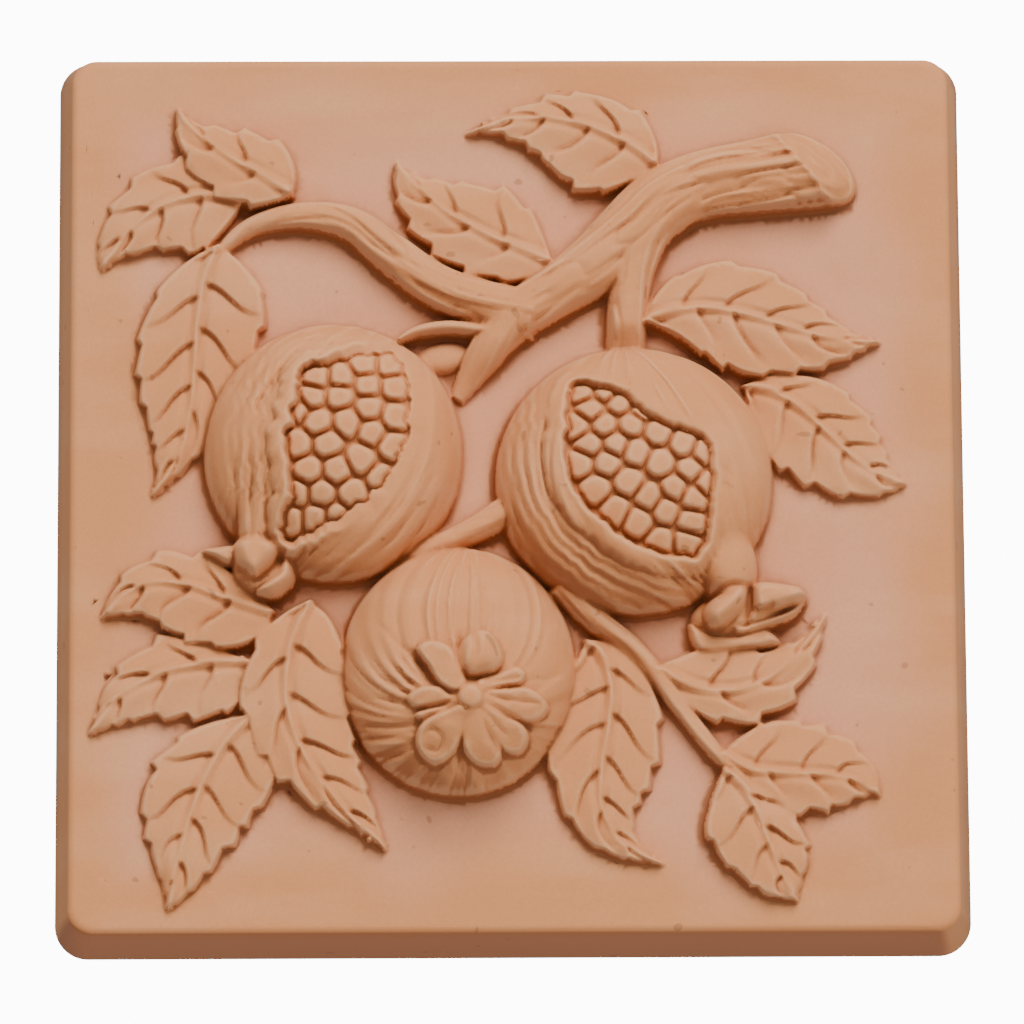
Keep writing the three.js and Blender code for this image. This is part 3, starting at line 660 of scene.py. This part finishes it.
rim = np.concatenate([index[:-1, 0], index[-1, :-1], index[:0:-1, -1], index[0, :0:-1]])
shrink = np.array([0.9, 0.6, 0.3, 0.1])
back = (front[rim][None] * [1, 0, 1]) * shrink[:, None, None]
inner_loops = count * count + np.arange(len(shrink) * len(rim)).reshape(len(shrink), -1)
loops = np.concatenate([rim[None], inner_loops])
turned = np.roll(loops, -1, axis=1)
walls = np.stack([loops[:-1], loops[1:], turned[1:], turned[:-1]], axis=-1).reshape(-1, 4)
hub = count * count + len(shrink) * len(rim)
fan = np.stack([loops[-1], np.full(len(rim), hub), turned[-1]], axis=-1)
points = np.concatenate([front, back.reshape(-1, 3), [[0, 0, 0]]])
mesh = bpy.data.meshes.new("pressed_plaque")
mesh.from_pydata(points.tolist(), [], quads.tolist() + walls.tolist() + fan.tolist())
plaque = bpy.data.objects.new("pressed_plaque", mesh)
bpy.context.scene.collection.objects.link(plaque)

THINNED_TO = 136000
LONGEST_EDGE = 3.6 * MM
thin = plaque.modifiers.new("thin", "DECIMATE")
thin.ratio = THINNED_TO / (2 * len(quads) + 2 * len(walls) + len(fan))
thinned = bpy.data.meshes.new_from_object(plaque.evaluated_get(bpy.context.evaluated_depsgraph_get()))
plaque.modifiers.clear()
plaque.data = thinned
bpy.data.meshes.remove(mesh)
mesh = thinned
work = bmesh.new()
work.from_mesh(mesh)
for _ in range(5):
    on_front = [e for e in work.edges if max(v.co.y for v in e.verts) < -0.97 * SLAB * MM]
    long_edges = [e for e in on_front if e.calc_length() > LONGEST_EDGE]
    bmesh.ops.subdivide_edges(work, edges=long_edges, cuts=1)
    bmesh.ops.triangulate(work, faces=[f for f in work.faces if len(f.verts) > 3])
work.to_mesh(mesh)
work.free()
mesh.shade_smooth()

corners = np.empty(len(mesh.vertices) * 3)
mesh.vertices.foreach_get("co", corners)
corners = corners.reshape(-1, 3) / MM
column = np.round(np.interp(corners[:, 0], line, np.arange(count))).astype(int)
row = np.round(np.interp(corners[:, 2], line, np.arange(count))).astype(int)
above = -corners[:, 1] - SLAB
from_edge = SIDE / 2 - np.abs(corners[:, [0, 2]]).max(axis=1)
drift = 12 * grain(corners[:, 0] / 35, corners[:, 2] / 35, 90)
CLEAR_OF_BACK = 1
on_face = corners[:, 1] < -CLEAR_OF_BACK
# The crease values carry painted shade in hollows and the pale wash on high places; ground marks the pink
# wash.
carried = {
    "crease": sunken[column, row] * on_face,
    "wide_painted_shade": wide_painted_shade[column, row] * on_face,
    "ground": smooth_step(6, 48, from_edge + drift) * (1 - smooth_step(0.6, 3.0, above)),
}
for name, values in carried.items():
    mesh.attributes.new(name, "FLOAT", "POINT").data.foreach_set("value", values.astype(np.float32))

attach(plaque, "root")
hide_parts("plaque")

# Terracotta: unglazed earthenware, pressed and fired, with a thin pale wash wiped over it. It is matt
# and faintly sandy. The wash stays pale on high places and pink on the ground. Painted shade in dark
# brown fills creases and hollows beside the relief and covers the sides that face down and left.


def colour(hex_value):
    """Linear red, green, blue and alpha of an sRGB hex value."""
    channels = np.array([int(hex_value[k:k + 2], 16) / 255 for k in (1, 3, 5)])
    linear = np.where(channels <= 0.04045, channels / 12.92, ((channels + 0.055) / 1.055) ** 2.4)
    return (*linear, 1.0)


def add(tree, kind, inputs, **settings):
    """Adds a node with its settings; an input is linked if it is given an output, or else set."""
    node = tree.nodes.new(kind)
    for name, value in settings.items():
        setattr(node, name, value)
    for name, value in inputs.items():
        if isinstance(value, bpy.types.NodeSocket):
            tree.links.new(value, node.inputs[name])
        else:
            node.inputs[name].default_value = value
    return node


clay = bpy.data.materials.new("washed_terracotta")
clay.use_nodes = True
tree = clay.node_tree
shader = tree.nodes["Principled BSDF"]
shader.inputs["Roughness"].default_value = 0.85
where = add(tree, "ShaderNodeTexCoord", {}).outputs["Object"]
crease = add(tree, "ShaderNodeAttribute", {}, attribute_name="crease").outputs["Fac"]
wide_painted_shade_fac = add(tree, "ShaderNodeAttribute", {}, attribute_name="wide_painted_shade").outputs["Fac"]
ground = add(tree, "ShaderNodeAttribute", {}, attribute_name="ground").outputs["Fac"]
normal = add(tree, "ShaderNodeNewGeometry", {}).outputs["Normal"]
# Painted shade: the sides that face down and left, away from the key light, turn brown.
DOWN_AND_LEFT = (-0.45, 0, -0.89)
downward = add(tree, "ShaderNodeVectorMath", {0: normal, 1: DOWN_AND_LEFT}, operation="DOT_PRODUCT")
streaky = add(tree, "ShaderNodeMapping", {"Vector": where, "Scale": (12, 12, 45)}).outputs["Vector"]
strokes = add(tree, "ShaderNodeTexNoise", {"Vector": streaky, "Scale": 1.0, "Detail": 5.0}).outputs["Fac"]
blotches = add(tree, "ShaderNodeTexNoise", {"Vector": where, "Scale": 1 / (22 * MM), "Detail": 3.0})
specks = add(tree, "ShaderNodeTexNoise", {"Vector": where, "Scale": 1 / (1.1 * MM), "Detail": 2.0})
flecks = add(tree, "ShaderNodeTexNoise", {"Vector": where, "Scale": 1 / (5 * MM), "Detail": 0.0})

# Each coat: what it follows, the values from which and to which it grows, its share and its colour.
COATS = [
    (ground, 0.0, 1.0, 1.0, "#d99a78"),
    (strokes, 0.42, 0.72, 0.22, "#e6b48c"),
    (blotches.outputs["Fac"], 0.5, 0.75, 0.22, "#c98a5c"),
    # painted shade on the sides facing down and left, in two steps
    (downward.outputs["Value"], 0.05, 0.8, 0.5, "#b0703f"),
    (downward.outputs["Value"], 0.55, 0.85, 0.75, "#81492a"),
    # painted shade in the broad hollows beside the relief
    (wide_painted_shade_fac, 0.03, 0.7, 0.75, "#99592c"),
    # painted shade: dark brown in creases and at wall feet, most under walls facing down and left
    (crease, 0.05, 0.75, 0.75, "#7c441f"),
    (crease, -0.12, -0.8, 0.3, "#e8bd94"),
    (specks.outputs["Fac"], 0.35, 0.65, 0.08, "#a0602f"),
    (flecks.outputs["Fac"], 0.8, 0.84, 0.35, "#6b4025"),
]
body = colour("#d28e5b")
for follows, start, full, share, tint in COATS:
    ends = {"Value": follows, "From Min": start, "From Max": full, "To Min": 0.0, "To Max": share}
    amount = add(tree, "ShaderNodeMapRange", ends, interpolation_type="SMOOTHSTEP").outputs["Result"]
    body = add(tree, "ShaderNodeMix", {0: amount, 6: body, 7: colour(tint)}, data_type="RGBA").outputs[2]
tree.links.new(body, shader.inputs["Base Color"])
sand = add(tree, "ShaderNodeTexNoise", {"Vector": where, "Scale": 1 / (0.7 * MM), "Detail": 4.0})
bump = add(tree, "ShaderNodeBump", {"Height": sand.outputs["Fac"], "Strength": 0.25, "Distance": 0.2 * MM})
tree.links.new(bump.outputs["Normal"], shader.inputs["Normal"])
mesh.materials.clear()
mesh.materials.append(clay)

# Studio: a pale floor below the plaque, a large soft light from the upper right and a white room.
# The camera stands a little below, as the plaque is seen, and looks up through a long lens.
VIEW_DISTANCE = 2.0
AZIMUTH, ELEVATION, ROLL = np.radians([-0.9, -9.2, -0.32])
aim = np.array([0.3, 0, -2.0]) * MM
away = np.array([
    np.sin(AZIMUTH) * np.cos(ELEVATION), -np.cos(AZIMUTH) * np.cos(ELEVATION), np.sin(ELEVATION)])
right = np.cross(-away, [0, 0, 1])
right /= np.linalg.norm(right)
up = np.cross(away, right)
rolled_right = np.cos(ROLL) * right + np.sin(ROLL) * up
rolled_up = np.cos(ROLL) * up - np.sin(ROLL) * right
camera = bpy.data.objects.new("camera", bpy.data.cameras.new("camera"))
bpy.context.scene.collection.objects.link(camera)
camera.matrix_world = Matrix.Translation(aim + VIEW_DISTANCE * away) @ Matrix(
    np.stack([rolled_right, rolled_up, away], axis=1).tolist()).to_4x4()
camera.data.sensor_width = 36
camera.data.lens = 212.34
bpy.context.scene.camera = camera

bpy.ops.mesh.primitive_plane_add(size=3, location=(0, 0, -0.75))
floor = bpy.context.object
floor.name = "floor"
pale = bpy.data.materials.new("pale_floor")
pale.use_nodes = True
pale.node_tree.nodes["Principled BSDF"].inputs["Base Color"].default_value = colour("#e8e6e2")
floor.data.materials.append(pale)

KEY_PLACE = (0.5, -2.6, 2.3)
lamp = bpy.data.lights.new("key", "AREA")
lamp.size = 1.8
lamp.energy = 158
lamp.color = colour("#fff1e2")[:3]
light = bpy.data.objects.new("key", lamp)
light.location = KEY_PLACE
light.rotation_euler = Vector(KEY_PLACE).to_track_quat("Z", "Y").to_euler()
bpy.context.scene.collection.objects.link(light)

world = bpy.data.worlds.new("white_room")
bpy.context.scene.world = world
world.use_nodes = True
room = world.node_tree
background = room.nodes["Background"]
background.inputs["Color"].default_value = (1, 1, 1, 1)
seen_white = add(room, "ShaderNodeBackground", {"Color": (1, 1, 1, 1), "Strength": 12.0})
background.inputs["Strength"].default_value = 0.5
to_camera = add(room, "ShaderNodeLightPath", {}).outputs["Is Camera Ray"]
choice = add(room, "ShaderNodeMixShader", {0: to_camera, 1: background.outputs[0], 2: seen_white.outputs[0]})
room.links.new(choice.outputs[0], room.nodes["World Output"].inputs["Surface"])
